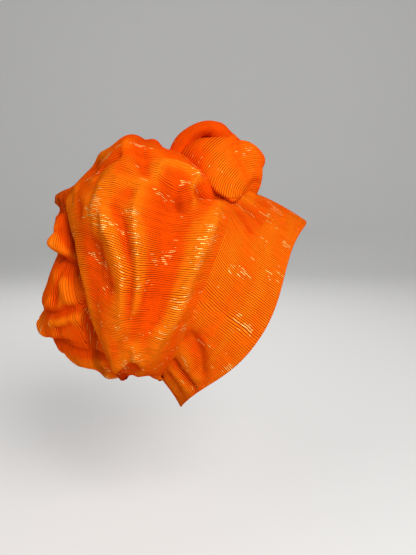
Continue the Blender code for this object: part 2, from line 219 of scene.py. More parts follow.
def band_points(around, along):
    """The band's sections, less the rim's wave: sin^2 of twice the angle, dying out from the rim."""
    points = section_points(BAND_SECTIONS, around, along)
    fade = np.clip(1 - along / RIM_WAVE_REACH, 0, 1) ** 2
    wave = RIM_WAVE * np.sin(2 * around) ** 2 * fade
    top_x, top_z, low_x, low_z = BAND_SECTIONS[0][1:5]
    out = np.array([top_z - low_z, 0, low_x - top_x])
    return points - wave[..., None] * unit(out)


def smoothed(grid, passes):
    """Each point drawn halfway to its four neighbours' middle, `passes` times; the end rows stay."""
    for _ in range(passes):
        middle = (np.roll(grid, 1, 0) + np.roll(grid, -1, 0))[:, 1:-1] + grid[:, :-2] + grid[:, 2:]
        grid = np.concatenate([grid[:, :1], (grid[:, 1:-1] + middle / 4) / 2, grid[:, -1:]], 1)
    return grid


def outward(grid, passes):
    """Unit normals of a grid that is closed round its first axis: the cross product of the steps
    along and round, smoothed."""
    round_it = np.roll(grid, -1, 0) - np.roll(grid, 1, 0)
    along_it = np.gradient(grid, axis=1)
    facing = unit(np.cross(along_it, round_it))
    return unit(smoothed(facing, passes))


def even_rows(base, count):
    """Places along a tube that are evenly spaced along its right side."""
    fine = np.linspace(0, 1, 801)
    side = base(np.full(fine.shape, np.pi / 2), fine)
    step = np.linalg.norm(np.diff(side, axis=0), axis=-1)
    length = np.concatenate([[0], np.cumsum(step)])
    return np.interp(np.linspace(0, length[-1], count), length, fine), length[-1]


def fold_moves(grid, facing, base, folds):
    """How far the folds carry each point, and their bare height there.

    A fold follows a smooth path on `base`. Across the path its height is exp(-(d/w)^p), with d the
    distance from the path, w the width on that side and p the sharpness: 2 is a soft roll, under
    1.5 a crease. Its lean carries the crest sideways, to the face where it is positive."""
    moved = np.zeros(grid.shape)
    raised = np.zeros(grid.shape[:2])
    for _, height, face_width, back_width, sharp, lean, places in folds:
        share = np.linspace(0, 1, len(places))
        rows = [(s, *place) for s, place in zip(share, places)]
        turn, along = through(rows, np.linspace(0, 1, FOLD_STEPS)).T
        path = base(np.radians(turn), along)
        reach = FOLD_REACH * max(face_width, back_width)
        near = np.all((grid > path.min(0) - reach) & (grid < path.max(0) + reach), axis=-1)
        here, normal = grid[near], facing[near]
        offset = here[:, None] - path
        nearest = np.linalg.norm(offset, axis=-1).argmin(-1)
        course = unit(np.gradient(path, axis=0))[nearest]
        offset = offset[np.arange(len(here)), nearest]
        length = np.concatenate([[0], np.cumsum(np.linalg.norm(np.diff(path, axis=0), axis=-1))])
        ahead = (offset * course).sum(-1)
        place = length[nearest] + ahead
        across = unit(np.cross(normal, course))
        side = (across * offset).sum(-1)
        width = face_width + (back_width - face_width) * (1 - smooth_step(side / 2 + 0.5))
        apart = np.linalg.norm(offset - ahead[:, None] * course, axis=-1)
        beyond = np.maximum(np.maximum(-place, place - length[-1]), 0)
        end = np.minimum(place, length[-1] - place) / length[-1]
        taper = FOLD_END_HEIGHT + (1 - FOLD_END_HEIGHT) * smooth_step(end / FOLD_END_TAPER)
        form = taper * np.exp(-((apart / width) ** sharp) - (beyond / width) ** 2)
        moved[near] += (height * form)[:, None] * normal + (lean * form)[:, None] * across
        raised[near] += height * form
    return moved, raised


def left_side(folds):
    """The same folds on the wearer's left, each moved and scaled a little, so that it is no mirror."""
    other = []
    for number, (name, height, face_width, back_width, sharp, lean, places) in enumerate(folds):
        turn = LEFT_SIDE_TURN * np.cos(1.7 * number)
        slide = LEFT_SIDE_SLIDE * np.sin(2.3 * number)
        moved = tuple((turn - degrees, min(max(along + slide, 0), 1)) for degrees, along in places)
        scale = 0.95 + 0.2 * np.sin(number)
        other.append((name, height * scale, back_width, face_width, sharp, -lean, moved))
    return tuple(other)


def cloth_tube(name, outer, inner, ribs, drift, length, closed_end, seam_row, marks):
    """A knit wall as one closed mesh: the outer grid, an inner grid of half its columns and rows, and
    the rims between them. Its UV map counts ribs round the tube, moved by the drift of each outer
    point in degrees, and millimetres along it. The outer edge of the seam's row is sharp, so that the
    cloth on both sides of the seam is shaded as one. Each mark is a number for every outer point,
    which the material reads."""
    columns, rows = outer.shape[:2]
    half_columns, half_rows = inner.shape[:2]
    shift = columns * rows
    a, r = np.meshgrid(np.arange(columns), np.arange(rows - 1), indexing="ij")
    b = (a + 1) % columns
    skin = np.stack([a * rows + r, b * rows + r, b * rows + r + 1, a * rows + r + 1], -1).reshape(-1, 4)
    slip = np.stack([drift[a, r], drift[b, r], drift[b, r + 1], drift[a, r + 1]], -1).reshape(-1, 4) / 360
    skin_u = (np.stack([a, a + 1, a + 1, a], -1).reshape(-1, 4) / columns + slip) * ribs
    skin_v = np.stack([r, r, r + 1, r + 1], -1).reshape(-1, 4) / (rows - 1) * length
    a, r = np.meshgrid(np.arange(half_columns), np.arange(half_rows - 1), indexing="ij")
    b = (a + 1) % half_columns
    lining = shift + np.stack(
        [a * half_rows + r, a * half_rows + r + 1, b * half_rows + r + 1, b * half_rows + r], -1
    ).reshape(-1, 4)
    lining_u = np.stack([a, a, a + 1, a + 1], -1).reshape(-1, 4) / half_columns * ribs
    lining_v = np.stack([r, r + 1, r + 1, r], -1).reshape(-1, 4) / (half_rows - 1) * length
    c = np.arange(half_columns)
    d = (c + 1) % half_columns
    rims = []
    for row, half_row, at in ((0, 0, 0.0), (rows - 1, half_rows - 1, length)):
        if row and closed_end:
            continue
        first, middle, last = 2 * c * rows + row, (2 * c + 1) * rows + row, 2 * d * rows + row
        low, high = shift + c * half_rows + half_row, shift + d * half_rows + half_row
        rim = np.stack([last, middle, first, low, high], -1)
        rim_u = np.stack([2 * c + 2, 2 * c + 1, 2 * c, 2 * c, 2 * c + 2], -1) / columns * ribs
        rims.append((rim if row == 0 else rim[:, ::-1], rim_u if row == 0 else rim_u[:, ::-1], at))
    faces = skin.tolist() + lining.tolist()
    for rim, _, _ in rims:
        faces += rim.tolist()
    rims_u = [rim_u.ravel() for _, rim_u, _ in rims]
    rims_v = [np.full(rim_u.size, at) for _, rim_u, at in rims]
    u = np.concatenate([skin_u.ravel(), lining_u.ravel()] + rims_u)
    v = np.concatenate([skin_v.ravel(), lining_v.ravel()] + rims_v)
    mesh = bpy.data.meshes.new(name)
    points = np.concatenate([outer.reshape(-1, 3), inner.reshape(-1, 3)])
    mesh.from_pydata((points * MM).tolist(), [], faces)
    mesh.uv_layers.new(name="cloth").data.foreach_set("uv", np.stack([u, v], -1).astype(np.float32).ravel())
    for mark, values in marks.items():
        # The lining takes the lowest value of each mark, so the knit paints it with its deepest shade.
        every = np.concatenate([values.ravel(), np.full(half_columns * half_rows, values.min())])
        mesh.attributes.new(mark, "FLOAT", "POINT").data.foreach_set("value", every.astype(np.float32))
    ends = np.empty(2 * len(mesh.edges), int)
    mesh.edges.foreach_get("vertices", ends)
    ends = ends.reshape(-1, 2)
    on_seam = np.all((ends % rows == seam_row) & (ends < shift), axis=-1)
    mesh.attributes.new("sharp_edge", "BOOLEAN", "EDGE").data.foreach_set("value", on_seam)
    shape = bmesh.new()
    shape.from_mesh(mesh)
    bmesh.ops.remove_doubles(shape, verts=shape.verts, dist=1e-6)
    if shape.calc_volume(signed=True) < 0:
        bmesh.ops.reverse_faces(shape, faces=shape.faces)
    shape.to_mesh(mesh)
    shape.free()
    piece = bpy.data.objects.new(name, mesh)
    bpy.context.collection.objects.link(piece)
    return piece


class Thread:
    """One shader value. An expression on it adds the Math nodes that work it out."""

    def __init__(self, tree, socket):
        self.tree, self.socket = tree, socket

    def node(self, kind, values, output=0, **settings):
        """A node of the kind: its settings first, then the values or links of its sockets."""
        made = self.tree.nodes.new(kind)
        for setting, value in settings.items():
            setattr(made, setting, value)
        for place, value in values.items():
            if isinstance(value, Thread):
                self.tree.links.new(value.socket, made.inputs[place])
            else:
                made.inputs[place].default_value = value
        return Thread(self.tree, made.outputs[output])

    def maths(self, operation, *values):
        return self.node("ShaderNodeMath", dict(enumerate(values)), operation=operation)

    def __add__(self, other):
        return self.maths("ADD", self, other)

    def __sub__(self, other):
        return self.maths("SUBTRACT", self, other)

    def __rsub__(self, other):
        return self.maths("SUBTRACT", other, self)

    def __mul__(self, other):
        return self.maths("MULTIPLY", self, other)

    def __truediv__(self, other):
        return self.maths("DIVIDE", self, other)

    def __pow__(self, other):
        return self.maths("POWER", self, other)

    def __abs__(self):
        return self.maths("ABSOLUTE", self)

    __radd__ = __add__
    __rmul__ = __mul__

    def step(self, low, high):
        """A smooth step from 0 at `low` to 1 at `high`."""
        values = {0: self, 1: low, 2: high, 3: 0.0, 4: 1.0}
        return self.node("ShaderNodeMapRange", values, interpolation_type="SMOOTHSTEP")

    def noise(self, across, scale_across, along, scale_along, detail=1.0):
        """Soft noise, stretched by its own scale each way on the cloth."""
        place = self.node("ShaderNodeCombineXYZ", {0: across * scale_across, 1: along * scale_along})
        values = {"Vector": place, "Scale": 1.0, "Detail": detail, "Roughness": 0.55}
        return self.node("ShaderNodeTexNoise", values, noise_dimensions="2D")

    def mixed(self, low, high):
        """The colour `low` where this value is 0 and `high` where it is 1."""
        values = {0: self, 6: low, 7: high}
        return self.node("ShaderNodeMix", values, output=2, data_type="RGBA")


# Colours of the knit. Deep and bright orange are painted shade and painted light on one cloth;
# the yellow is a painted sheen, the dark red and the brown painted shade, the cream a painted glint.
DEEP_ORANGE = (0.80, 0.066, 0.0010, 1)
BRIGHT_ORANGE = (0.94, 0.175, 0.0035, 1)
PAINTED_SHEEN_YELLOW = (0.95, 0.250, 0.0120, 1)
CREASE_SHADE_RED = (0.34, 0.014, 0.0006, 1)
GROOVE_SHADE_BROWN = (0.20, 0.010, 0.0008, 1)
PAINTED_GLINT_CREAM = (1.00, 0.580, 0.1500, 1)
STITCH = 1.35            # millimetres from one knit stitch to the next along a rib
RIB_HEIGHT = 0.55        # millimetres
RIB_WANDER = 1.6         # ribs that a rib's line strays over
CREASE_FROM = -5.0       # millimetres of fold below which the cloth is painted dark red, as shade in the crease
CREASE_FULL = -14.0      # and where that painted shade is as dark as it gets


def ribbed_knit(name, painted_lightness, glints, gaps, dash_length):
    """The ribbed knit, read from the piece's UV map: ribs counted across and millimetres along.

    Each rib is round, |sin| across it, with stitches that meet in a V along its middle, and a gap on
    both sides that is painted dark, as shade in the groove, with a depth that wanders along the rib.
    Short lengths of yellow metallic thread lie on the crests, metal and smooth, and their glint is
    painted in cream, in crowds, more of them where a fold stands up. The orange is painted brighter
    and yellower where a fold stands up, as light, and deeper in its hollows, as shade; deep in a
    crease it is painted a dark red, as shade. The first number paints the whole piece lighter or
    darker as light falls on it, `glints` and `gaps` make the painted glints and the painted shade
    in the gaps more or fewer, and a dash of shine is about `dash_length` long. The scales of the
    noises are turns per rib across and per millimetre along."""
    material = bpy.data.materials.new(name)
    material.use_nodes = True
    tree = material.node_tree
    shader = tree.nodes["Principled BSDF"]
    start = Thread(tree, None)
    cloth = start.node("ShaderNodeUVMap", {}, uv_map="cloth")
    parts = start.node("ShaderNodeSeparateXYZ", {0: cloth})
    across = parts
    along = Thread(tree, parts.socket.node.outputs[1])
    raised = start.node("ShaderNodeAttribute", {}, output=2, attribute_name="raised")
    wander = start.noise(across, 0.11, along, 0.045, 2.0)
    across = across + (wander - 0.5) * RIB_WANDER
    rib = across.maths("FLOOR", across)
    inside = across - rib
    crest = (inside * np.pi).maths("SINE", inside * np.pi)
    # The groove between two ribs, where its shade is painted.
    gap = 1 - crest.step(0.15, 0.80)
    chance = rib.node("ShaderNodeTexWhiteNoise", {"W": rib}, noise_dimensions="1D")
    streak = start.noise(rib, 7.31, along + chance * 90.0, 0.085, 2.0)
    fine_streak = start.noise(rib, 3.17, along + chance * 47.0, 0.42, 1.0)
    patch = start.noise(across, 0.030, along, 0.060, 2.0)
    vee = (along / STITCH + abs(inside - 0.5) * 1.1) * (2 * np.pi)
    stitch = vee.maths("SINE", vee) * 0.5 + 0.5
    # Painted light and shade: brighter where a fold stands up, deeper in its hollows, and the piece's
    # painted lightness over all; the patches and streaks are the cloth's own uneven colour.
    height = raised.step(-3.0, 3.5)
    crest_line = raised.step(2.0, 7.0)
    light_shade_and_patches = (height * 0.75 + (patch - 0.5) * 0.9 + (streak - 0.5) * 0.5 + painted_lightness).step(0.0, 1.0)
    colour = light_shade_and_patches.mixed(DEEP_ORANGE, BRIGHT_ORANGE)
    # Painted shade: deep in a crease the orange turns dark red.
    deep = 1 - raised.step(CREASE_FULL, CREASE_FROM)
    colour = (deep * 0.65).mixed(colour, CREASE_SHADE_RED)
    # Painted highlight: a yellow sheen along the rib crests where a fold stands up; it also makes the cloth
    # a little smoother there.
    painted_sheen = (crest_line * crest * (streak * 0.8 + fine_streak * 0.6)).step(0.25, 1.0)
    colour = (painted_sheen * 0.80).mixed(colour, PAINTED_SHEEN_YELLOW)
    # Painted shade in the grooves between the ribs, deeper or lighter at random along them.
    uneven = (streak - 0.5) * 2.4 + (patch - 0.5) * 2.6 + (chance - 0.5) * 0.9
    depth = (uneven + 0.42 + gaps).step(0.0, 1.0) * 0.84 + 0.14
    colour = (gap * depth).mixed(colour, GROOVE_SHADE_BROWN)
    # The metallic thread: its metal and smoothness are real, its cream colour is a painted glint, crowded
    # on the crests where a fold stands up.
    dash = start.noise(rib, 11.7, along + chance * 131.0, 0.5 / dash_length, 1.0)
    crowd = start.noise(across, 0.11, along, 0.045, 2.0)
    dense = ((crowd - 0.5) * 5.0 + crest_line * 1.1 + glints).step(0.1, 1.3)
    shine = (dash + (fine_streak - 0.5) * 0.40 + dense * 0.34).step(0.85, 0.93) * crest.step(0.78, 0.98)
    colour = shine.mixed(colour, PAINTED_GLINT_CREAM)
    tree.links.new(colour.socket, shader.inputs["Base Color"])
    rough = 0.62 - shine * 0.30 - painted_sheen * 0.10
    tree.links.new(rough.socket, shader.inputs["Roughness"])
    metal = shine * 0.5
    tree.links.new(metal.socket, shader.inputs["Metallic"])
    fuzz = start.noise(across, 2.3, along, 1.9, 3.0)
    relief = crest ** 0.7 + stitch * crest * 0.30 + (fuzz - 0.5) * 0.35
    bump = relief.node("ShaderNodeBump", {"Strength": 0.8, "Distance": RIB_HEIGHT * MM, "Height": relief})
    tree.links.new(bump.socket, shader.inputs["Normal"])
    shader.inputs["Specular IOR Level"].default_value = 0.0
    return material


def dress(piece, node, material):
    """Gives a piece its knit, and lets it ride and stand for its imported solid."""
    piece.data.materials.append(material)
    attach(piece, "root")
    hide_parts(node)


around = np.linspace(0, 2 * np.pi, BAND_GRID[0], endpoint=False)
band_rows, band_length = even_rows(band_points, BAND_GRID[1])
turn, place = np.meshgrid(around, band_rows, indexing="ij")
base = band_points(turn, place)
facing = outward(base, 4)
moved, raised = fold_moves(base, facing, band_points, BAND_FOLDS + left_side(BAND_FOLDS))
seam_fade = smooth_step((1 - place) / SEAM_FADE)
moved *= seam_fade[..., None]
rim_edge = RIM_ROUND * (1 - smooth_step(place / RIM_ROUND_REACH))
outer = base + moved - rim_edge[..., None] * facing
facing = outward(outer, 6)
inner = outer[::2, ::2] - BAND_WALL * facing[::2, ::2]
inner = np.concatenate([inner, (outer - BAND_WALL * facing)[::2, -1:]], 1)
turned = np.degrees(turn)
side = np.where(turned > 180, 360 - turned, turned)
bent = through(RIB_BEND, side)[..., 0] * np.where(turned > 180, -1, 1)
drift = bent * np.clip((place - RIB_BEND_FROM) / (1 - RIB_BEND_FROM), 0, 1) ** 2
last_row = BAND_GRID[1] - 1
band = cloth_tube("band", outer, inner, BAND_RIBS, drift, band_length, False, last_row, {"raised": raised})
# The knit's first number is this piece's painted lightness, as light falls on it.
dress(band, "brim_band", ribbed_knit("band knit", 0.26, 0.15, 0.60, 9.0))


# The bag: the slouched crown, one layer of thick rib knit gathered into the band's seam. It hangs back
# in two long drapes, turns under along a hem, and is crumpled where its back closes in a run of tucks.
BAG_WALL = 2.4
BAG_RIBS = 400
BAG_GRID = (384, 198)
PEAR = 0.10              # how much wider the bag is below its middle than above
PEAR_FROM = 0.16         # share of the bag's length over which that sets in behind the seam
BAG_SECTIONS = (
    # along  top_x   top_z  bottom_x  bottom_z  half_width  side_lean
    (0.00,    -7.0,  123.0,  -82.0,    -58.0,    79.5,       3.0),
    (0.08,   -24.0,  138.0,  -90.0,    -62.0,    92.0,       3.0),
    (0.20,   -50.0,  155.0,  -99.0,    -58.0,   101.0,       0.0),
    (0.33,   -84.0,  173.0, -105.0,    -55.0,   104.0,       0.0),
    (0.43,  -108.0,  175.0, -108.0,    -57.0,   104.0,       0.0),
    (0.54,  -131.0,  156.0, -110.0,    -61.0,   100.0,       0.0),
    (0.64,  -150.0,  138.0, -112.0,    -63.0,    93.0,       2.0),
    (0.70,  -158.0,  130.0, -116.0,    -62.0,    83.0,       4.0),
    (0.76,  -164.0,  126.0, -124.0,    -58.0,    66.0,       6.0),
    (0.84,  -171.0,  123.0, -142.0,    -51.0,    57.0,      -2.0),
    (0.92,  -176.0,  120.0, -160.0,    -42.0,    42.0,      -3.0),
    (0.97,  -179.0,  117.0, -171.0,    -34.0,    24.0,       0.0),
    (1.00,  -180.0,  111.0, -175.0,    -26.0,     0.0,       0.0),
)
BACK_OUTLINE = (
    # down  out
    (0.00,  1.0),
    (0.04, -3.0),
    (0.12,  0.0),
    (0.22,  0.0),
    (0.32,  0.0),
    (0.40,  2.0),
    (0.52, 11.0),
    (0.62, 18.0),
    (0.72, 18.0),
    (0.82, 23.0),
    (0.90, 14.5),
    (1.00,  4.0),
)
BACK_OUTLINE_FROM = 0.72     # share of the bag's length where the back's outline starts to show
BAG_FOLDS = (
    # name               height  face_width  back_width  sharp  lean  places
    ("roll behind seam",    7.0,   8.0,  8.0, 1.9,  0.0,
     ((36, .04), (50, .055), (64, .07), (76, .085), (95, .10), (108, .13), (122, .16))),
    ("hollow behind roll", -6.0,  12.0, 12.0, 1.9,  0.0,
     ((50, .20), (66, .21), (89, .20), (104, .22), (114, .24))),
    ("roll flank crease",  -2.5,   3.5,  5.0, 1.3,  0.0,
     ((44, .09), (53, .12), (62, .16), (74, .18), (90, .19), (104, .21))),
    ("first drape",         7.0,   6.0,  4.6, 1.6,  0.0,
     ((48, .325), (58, .342), (68, .35), (78, .33), (88, .31), (98, .30), (106, .315), (112, .34))),
    ("gutter",             -4.5,   4.0,  4.5, 1.8,  0.0,
     ((64, .45), (72, .40), (79, .38), (87, .35), (95, .34), (105, .355), (112, .36))),
    ("second drape",        7.0,   4.6,  8.5, 1.6,  0.0,
     ((56, .53), (63, .49), (72, .475), (81, .43), (89, .39), (97, .385), (106, .40), (114, .43))),
    ("slack side",         -5.0,  10.0, 14.0, 2.0,  0.0, ((66, .57), (80, .57), (96, .50))),
    ("top drape",           6.0,   5.0,  4.0, 1.5,  0.0,
     ((50, .30), (44, .29), (37, .275), (32, .25), (29, .20), (32, .15), (34, .12))),
    ("dimple by knot",     -5.0,   8.0,  9.0, 1.6,  0.0, ((30, .08), (38, .12), (48, .17), (56, .21))),
    ("pit at knot",        -7.5,   3.0,  5.0, 1.3,  0.0, ((31, .03), (33, .07), (36, .105), (40, .125))),
    ("lobe by knot",        4.5,   4.0,  3.2, 1.7,  0.0,
     ((29, .175), (34, .16), (39, .163), (44, .15), (51, .135))),
    ("dimple below",       -5.5,   3.2,  4.2, 1.4,  0.0,
     ((38, .205), (44, .193), (50, .182), (57, .165))),
    ("hollow under drape", -5.0,   9.0,  9.0, 1.8,  0.0, ((42, .22), (52, .23), (60, .23))),
    ("upper drape",         2.5,   5.0,  6.0, 1.8,  0.0, ((50, .46), (54, .40), (57, .35))),
    ("crown valley",       -4.0,   5.0,  6.0, 1.5,  0.0, ((26, .36), (36, .34), (44, .335), (50, .30))),
    ("hollow below it",    -3.0,   5.0,  6.0, 1.6,  0.0, ((55, .39), (60, .36), (64, .33))),
    ("shoulder drape",      5.0,   9.0,  9.0, 2.0,  0.0, ((42, .50), (54, .52), (64, .55))),
    ("shoulder crease",    -6.0,   5.0,  6.0, 1.4,  0.0, ((34, .42), (33, .48), (28, .56))),
    ("turned edge",         4.0,   9.0,  4.0, 1.8, -3.0,
     ((20, .74), (40, .735), (60, .73), (76, .70), (90, .695), (104, .715), (120, .73))),
    ("under the edge",    -11.0,   2.8,  5.0, 1.4,  0.0,
     ((34, .80), (50, .80), (62, .79), (76, .75), (90, .745), (104, .77), (122, .785))),
    ("hem crease",         -4.5,   3.0,  5.0, 1.4,  0.0,
     ((136, .31), (140, .45), (142, .58), (143, .70), (146, .78))),
    ("hem",                 3.5,   4.5,  6.0, 2.0,  2.0,
     ((122, .22), (128, .32), (131, .44), (131, .58), (133, .68))),
    ("tongue",              3.5,   5.0,  6.0, 2.0,  1.0,
     ((118, .33), (124, .27), (129, .22), (133, .19))),
    ("under the tongue",   -4.0,   3.0,  4.0, 1.4,  0.0, ((131, .34), (135, .27), (138, .20))),
)
BACK_FOLDS = (
    # name               height  face_width  back_width  sharp  lean  places
    ("corner notch",       -8.0,   5.0,  6.0, 1.5,  0.0, ((37, .99), (35, .93), (33, .86), (30, .80))),
    ("flap",                6.0,   8.0,  7.0, 2.0,  0.0, ((62, .96), (67, .86), (72, .79), (78, .76))),
    ("flap upper line",    -3.0,   3.0,  4.0, 1.3,  0.0, ((58, .95), (55, .86), (54, .79))),
    ("crease under flap", -11.0,   4.5,  5.5, 1.5,  0.0, ((72, .98), (73, .86), (76, .80), (84, .76))),
    ("middle lobe",         5.0,   7.0,  8.0, 2.0,  0.0, ((82, .90), (87, .84), (94, .82), (100, .82))),
    ("side fold",           3.0,   4.0,  4.0, 1.8,  0.0, ((79, .79), (86, .775), (92, .77))),
    ("dark beside lobe",   -7.0,   3.5,  4.5, 1.4,  0.0, ((79, .85), (88, .87), (100, .885))),
    ("crease over roll",   -7.0,   4.0,  5.0, 1.4,  0.0, ((110, .97), (105, .88), (98, .82), (96, .79))),
    ("middle roll",         5.0,   6.0,  7.0, 2.0,  0.0,
     ((114, .93), (108, .86), (103, .81), (101, .78))),
    ("crease below roll",  -4.0,   3.5,  4.0, 1.4,  0.0, ((117, .90), (109, .84), (104, .82))),
    ("red hollow",         -5.0,   6.0,  6.0, 1.6,  0.0, ((101, .78), (109, .775), (117, .77))),
    ("pinch",              -7.0,   4.0,  5.0, 1.5,  0.0,
     ((135, .99), (134, .94), (127, .88), (123, .83))),
    ("roll tip",            4.0,   5.0,  5.0, 2.0,  0.0, ((126, .99), (130, .96), (133, .92))),
    ("bottom crease",      -7.0,   4.5,  5.0, 1.4,  0.0,
     ((140, .98), (134, .90), (130, .80), (128, .72))),
    ("bottom roll",         3.5,   8.0,  9.0, 2.0,  0.0,
     ((156, .90), (148, .84), (138, .80), (130, .76))),
)
MIDDLE_FOLDS = (
    # name               height  face_width  back_width  sharp  lean  places
    ("seat of knot",      -13.0,  19.0, 19.0, 2.0,  0.0, ((0, .02), (0, .10), (0, .20))),
    ("crown crease",       -5.0,   7.0,  8.0, 1.5,  0.0, ((-24, .33), (0, .36), (22, .34))),
    ("crown drape",         4.0,   9.0,  9.0, 2.0,  0.0, ((-26, .52), (0, .55), (20, .52))),
    ("nape crease",        -5.0,   6.0,  7.0, 1.5,  0.0, ((160, .16), (180, .18), (200, .17))),
    ("under drape",         4.0,  10.0, 10.0, 2.0,  0.0, ((158, .33), (180, .38), (204, .36))),
    ("hem lift",           -2.5,   9.0,  9.0, 2.0,  0.0,
     ((146, .48), (163, .47), (197, .47), (214, .48))),
    ("notch by lobe",      -4.0,   4.5,  4.5, 2.0,  0.0, ((144, .11), (158, .10), (172, .11))),
    ("front rise",         -5.0,   7.0,  7.0, 2.0,  0.0, ((138, .14), (180, .14), (222, .14))),
    ("front lobe",          6.5,   5.0,  4.0, 2.0,  7.0, ((148, .05), (158, .045), (168, .05))),
    ("belly dip",          -6.0,   9.0,  9.0, 2.0,  0.0,
     ((132, .62), (150, .64), (165, .64), (180, .64), (212, .64))),
    ("belly tip",           5.0,   8.0,  7.0, 2.0,  0.0, ((146, .77), (160, .775), (175, .77))),
    ("notch by loop",      -6.0,   8.0,  8.0, 2.0,  0.0, ((-18, .28), (0, .285), (18, .28))),
    ("left shoulder",      -4.0,   8.0,  8.0, 2.0,  0.0, ((8, .58), (18, .57), (28, .58))),
)
FOLD_FADE_ROWS = 0.05        # share of the bag's length over which folds die away at the seam
BAG_RIB_DRIFT = (
    # along  degrees that the ribs of the side have climbed since the seam
    (0.00,    0.0),
    (0.08,   -4.0),
    (0.20,   -9.0),
    (0.36,  -13.0),
    (0.48,   -7.0),
    (0.58,    1.5),
    (0.66,    7.5),
    (0.74,   10.0),
    (0.86,    6.0),
    (1.00,    0.0),
)
BACK_RIBS_FROM = 0.775       # share of the length behind which the back's own ribs run down, not along
BACK_RIBS_OVER = 0.03        # share of the length that they turn over in
BACK_RIBS_FADE = 35.0        # degrees from the top and the bottom over which they turn back
BACK_RIBS_EVEN = 0.85        # share of the ribs round that the back loses
BACK_RIBS_RUN = 172.0        # degrees of ribs that it gains over the whole length
BAG_DRIFT_SHARE = (
    # round  share of it
    (0.0,    0.0),
    (25.0,   0.6),
    (50.0,   1.2),
    (75.0,   1.1),
    (95.0,   0.9),
    (115.0,  0.7),
    (135.0,  0.5),
    (155.0,  0.2),
    (180.0,  0.0),
)


def bag_points(around, along):
    """The bag's sections, with the back's outline added: how far it stands out at each height."""
    points = section_points(BAG_SECTIONS, around, along, PEAR * smooth_step(along / PEAR_FROM))
    out = through(BACK_OUTLINE, (1 - np.cos(around)) / 2)[..., 0]
    points[..., 0] -= out * smooth_step((along - BACK_OUTLINE_FROM) / (1 - BACK_OUTLINE_FROM))
    return points


def loose_folds(count, seed, height, width, region):
    """Small soft folds of chance place and size inside a region of (degrees, degrees, along, along)."""
    chance = np.random.default_rng(seed)
    folds = []
    for number in range(count):
        turn = chance.uniform(region[0], region[1])
        along = chance.uniform(region[2], region[3])
        run = chance.uniform(8, 22)
        drift = chance.normal(0, 0.03)
        size = height * chance.uniform(0.5, 1.0) * chance.choice([-1, 1])
        wide = width * chance.uniform(0.7, 1.3)
        places = tuple((turn + run * s, along + drift * s) for s in (-0.5, 0.0, 0.5))
        folds.append((f"loose {number}", size, wide, wide, 1.9, 0.0, places))
    return tuple(folds)


SIDE_CRUMPLES = loose_folds(count=60, seed=3, height=1.4, width=4.6, region=(25, 140, 0.12, 0.68))
BACK_CRUMPLES = loose_folds(count=40, seed=8, height=2.0, width=4.0, region=(20, 160, 0.72, 0.96))

around = np.linspace(0, 2 * np.pi, BAG_GRID[0], endpoint=False)
bag_rows, bag_length = even_rows(bag_points, BAG_GRID[1])
turn, place = np.meshgrid(around, bag_rows, indexing="ij")
base = bag_points(turn, place)
facing = outward(base, 4)
side_folds = BAG_FOLDS + BACK_FOLDS + SIDE_CRUMPLES + BACK_CRUMPLES
moved, raised = fold_moves(base, facing, bag_points, side_folds + left_side(side_folds) + MIDDLE_FOLDS)
fade = np.clip(place / FOLD_FADE_ROWS, 0, 1)
moved *= fade[..., None]
raised *= fade
outer = smoothed(base + moved, 2)
last = outer[:, -1]
outer[:, -1] = (last + np.roll(last[::-1], 1, 0) * [1, -1, 1]) / 2 * [1, 0, 1]
facing = outward(outer, 8)
inner = outer[::2, ::2] - BAG_WALL * facing[::2, ::2]
closing = outer[::2, -1:] + [BAG_WALL, 0, 0]
inner = np.concatenate([inner, closing], 1)
turned = np.degrees(turn)
side = np.where(turned > 180, 360 - turned, turned)
share = through(BAG_DRIFT_SHARE, side)[..., 0] * np.where(turned > 180, -1, 1)
drift = share * through(BAG_RIB_DRIFT, place)[..., 0]
behind = smooth_step((place - BACK_RIBS_FROM) / BACK_RIBS_OVER)
behind *= smooth_step(side / BACK_RIBS_FADE) * smooth_step((180 - side) / BACK_RIBS_FADE)
falling = BACK_RIBS_EVEN * (90 - side) + BACK_RIBS_RUN * (place - BACK_RIBS_FROM)
drift += behind * falling * np.where(turned > 180, -1, 1)
bag = cloth_tube("bag", outer, inner, BAG_RIBS, drift, bag_length, True, 0, {"raised": raised})
# The knit's first number is this piece's painted lightness, as light falls on it.
dress(bag, "crown_bag", ribbed_knit("bag knit", 0.06, 0.15, 0.20, 3.5))


# The knot. Its roll is the band's gathered front drawn up and wound into a fat lobe of cloth, several
# layers deep, and the loop is the same strip going round behind it and back down into the band.
KNOT_ROLL = (
    # along   x      y      z     half_height  half_depth
    (0.00,   20.0,  -3.0, 154.0,  11.0,        10.0),
    (0.14,   13.0,  -3.0, 151.0,  18.5,        17.0),
    (0.35,   -1.0,  -3.0, 142.0,  29.0,        25.0),
    (0.55,  -15.0,  -3.0, 142.0,  31.0,        28.0),
    (0.72,  -30.0,  -3.0, 147.0,  27.0,        27.0),
    (0.87,  -45.0,  -3.0, 151.0,  21.5,        22.0),
    (1.00,  -61.0,  -4.0, 152.0,  14.0,        15.0),
)
KNOT_LOOP = (
    # along   x      y      z     half_height  half_depth
    (0.00,  -64.0,   6.0, 141.0,   8.0,        12.0),
    (0.12,  -63.5,   8.0, 153.0,   9.0,        14.0),
    (0.26,  -54.5,  10.0, 169.0,   9.5,        15.0),
    (0.37,  -41.0,  12.0, 179.5,   7.5,        16.0),
    (0.43,  -33.0,  14.0, 180.5,   8.5,        16.0),
    (0.49,  -26.0,  16.0, 177.5,  11.0,        16.0),
    (0.57,  -19.0,  18.0, 171.5,  11.0,        16.0),
    (0.70,   -4.0,  20.0, 155.0,  12.5,        15.0),
    (0.85,    3.0,  18.0, 136.0,  11.0,        13.0),
    (1.00,    3.0,  14.0, 116.0,   8.0,        10.0),
)
ROUND_END = 0.16             # share of a knot piece's length that rounds off at each end
KNOT_UNEVEN = 0.022          # share of its size by which a knot piece swells and shrinks
ROLL_GRID = (220, 160)
LOOP_GRID = (110, 200)
